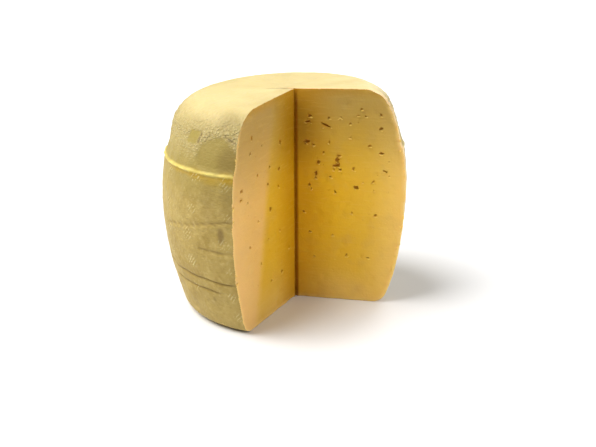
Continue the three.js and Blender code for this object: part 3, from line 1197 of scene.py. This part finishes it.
plug(tone, skin.inputs["Base Color"])
plug(stepped(mottle, *roughness_from, *skin_roughness), skin.inputs["Roughness"])
set_surface(skin, shine=0.3, glow=0.12, glow_colours=(1.0, 0.62, 0.22), glow_reach=3 * mm)
skin_swells = noise_of(skin_bump_size, 2, skin_flatness)
skin_grain = maths("ADD", noise_of(skin_grain_size, 1, skin_flatness), weave)
skin_grain = maths("ADD", skin_grain, times(crown_highlight, crown_rise))
add_bumps(skin, ((skin_swells, 1.0, skin_bump_height), (skin_grain, 1.0, skin_grain_height)))

# Golden paste
# The inside of the cheese: firm, waxy and a little grainy, tan where it has dried under the rind and deeper
# gold further in, with a peach outer part on the left-hand face. The knife left a faint sheen and fine drag
# lines, most of them on the right-hand face. Painted shade darkens the upper part of the cut faces, the
# corner where they meet, the inner part of the left-hand face, the slit and the insides of the eyes, and
# painted highlight makes the crumbs paler.
dry_cloud_size = 16 * mm
paste_grain_size = 1.3 * mm
paste_grain_height = 0.4 * mm
drag_line_size = 1.5 * mm
drag_line_stretch = (0.12, 0.12, 1)
drag_line_height = 0.4 * mm
drag_strength = 0.5
grain_strength = 0.6
paste_roughness = (0.40, 0.55)
dry_cloud = (200, 160, 88)
drag_line = (240, 204, 112)

# The paste's colour by its depth below the rind, as a share of the deepest.
paste_depths = (
    (0.0, (236, 194, 102)),
    (0.15, (231, 189, 86)),
    (0.32, (225, 180, 58)),
    (0.58, (226, 178, 36)),
    (1.0, (220, 168, 12)),
)

# Each mark of the paste, with its tint and the share of the tint.
paste_tints = (
    ("left_peach", (214, 167, 114), 0.6),
    # Painted shade on the inner part of the left-hand face.
    ("left_inner_shade", (168, 124, 40), 0.4),
    # Painted shade on the upper part of the cut faces.
    ("upper_paste_shade", (148, 121, 60), 0.72),
    # Painted shade in the corner where the cut faces meet.
    ("near_tip_shade", (200, 144, 0), 0.8),
    ("tip_top_shade", (112, 76, 0), 0.6),
    ("left_tip_shade", (140, 96, 0), 0.4),
    ("under_top", (176, 130, 34), 0.5),
    ("rim", (240, 204, 130), 0.6),
    # Painted highlight on the crumbs.
    ("crumb_highlight", (240, 202, 104), 0.45),
    ("by_eye", (180, 128, 36), 0.4),
    # Painted shade inside the eyes and the slit.
    ("in_eye_shade", (166, 108, 22), 0.85),
    ("in_slit_shade", (146, 84, 6), 0.9),
)

paste.use_nodes = True
tree = paste.node_tree
body = tree.nodes["Principled BSDF"]
clouds = noise_of(dry_cloud_size, 3)
grain = noise_of(paste_grain_size, 4)
drag_lines = noise_of(drag_line_size, 3, drag_line_stretch)
depths = add_node("ValToRGB", Fac=mark_of("under_rind"))
stops = depths.color_ramp.elements
stops[0].color = colour(*paste_depths[0][1])
stops[1].color = colour(*paste_depths[-1][1])
for depth, tint in paste_depths[1:-1]:
    stops.new(depth).color = colour(*tint)
tone = tinted(depths.outputs["Color"], dry_cloud, stepped(clouds, 0.5, 0.72, 0, 0.25))
tone = with_tints(tone, paste_tints)
tone = tinted(tone, drag_line, stepped(drag_lines, 0.52, 0.72, 0, 0.08))
plug(tone, body.inputs["Base Color"])
plug(stepped(clouds, *roughness_from, *paste_roughness), body.inputs["Roughness"])
set_surface(body, shine=0.1, glow=0.25, glow_colours=(1.0, 0.55, 0.15), glow_reach=4 * mm)
drag = times(mark_of("dragged"), drag_strength)
add_bumps(body, ((drag_lines, drag, drag_line_height), (grain, grain_strength, paste_grain_height)))

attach(cheese, "root")
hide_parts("cheese")

# Stage
# A plain pale floor, one broad soft light from overhead and the left, and three weaker soft lights, from the
# right, from the left and from behind.
floor_size = 8.0
floor_drop = 0.2 * mm
floor_shade = (0.84, 0.84, 0.84, 1)
floor_roughness = 0.8
overhead_power = 3.8
overhead_spread = math.radians(44)
overhead_turn = (math.radians(9), math.radians(-31), 0)
studio_glow = 0.12
light_size = 0.9

# The weaker lights: name, place and power.
side_lights = (
    ("right_light", (1.25, -0.45, 0.55), 9.5),
    ("left_light", (-1.2, 0.0, 0.5), 4.5),
    ("back_light", (0.35, 1.3, 0.6), 11),
)

bpy.ops.object.select_all(action="DESELECT")
bpy.ops.mesh.primitive_plane_add(size=floor_size, location=(0, 0, -floor_drop))
floor = bpy.context.active_object
floor.name = "floor"
pale_floor = bpy.data.materials.new("pale_floor")
pale_floor.use_nodes = True
floor_look = pale_floor.node_tree.nodes["Principled BSDF"].inputs
floor_look["Base Color"].default_value = floor_shade
floor_look["Roughness"].default_value = floor_roughness
floor.data.materials.append(pale_floor)

bpy.ops.object.light_add(type="SUN")
sky = bpy.context.active_object
sky.name = "overhead_light"
sky.data.energy = overhead_power
sky.data.angle = overhead_spread
sky.rotation_euler = overhead_turn
middle = Vector((0, 0, cheese_height / 2))
for name, place, power in side_lights:
    bpy.ops.object.light_add(type="AREA", location=place)
    light = bpy.context.active_object
    light.name = name
    light.data.size = light_size
    light.data.energy = power
    light.rotation_euler = (middle - Vector(place)).to_track_quat("-Z", "Y").to_euler()

world = bpy.data.worlds.new("studio")
bpy.context.scene.world = world
world.use_nodes = True
backdrop = world.node_tree.nodes["Background"].inputs
backdrop["Color"].default_value = (1, 1, 1, 1)
backdrop["Strength"].default_value = studio_glow
bpy.context.scene.view_settings.view_transform = "Standard"
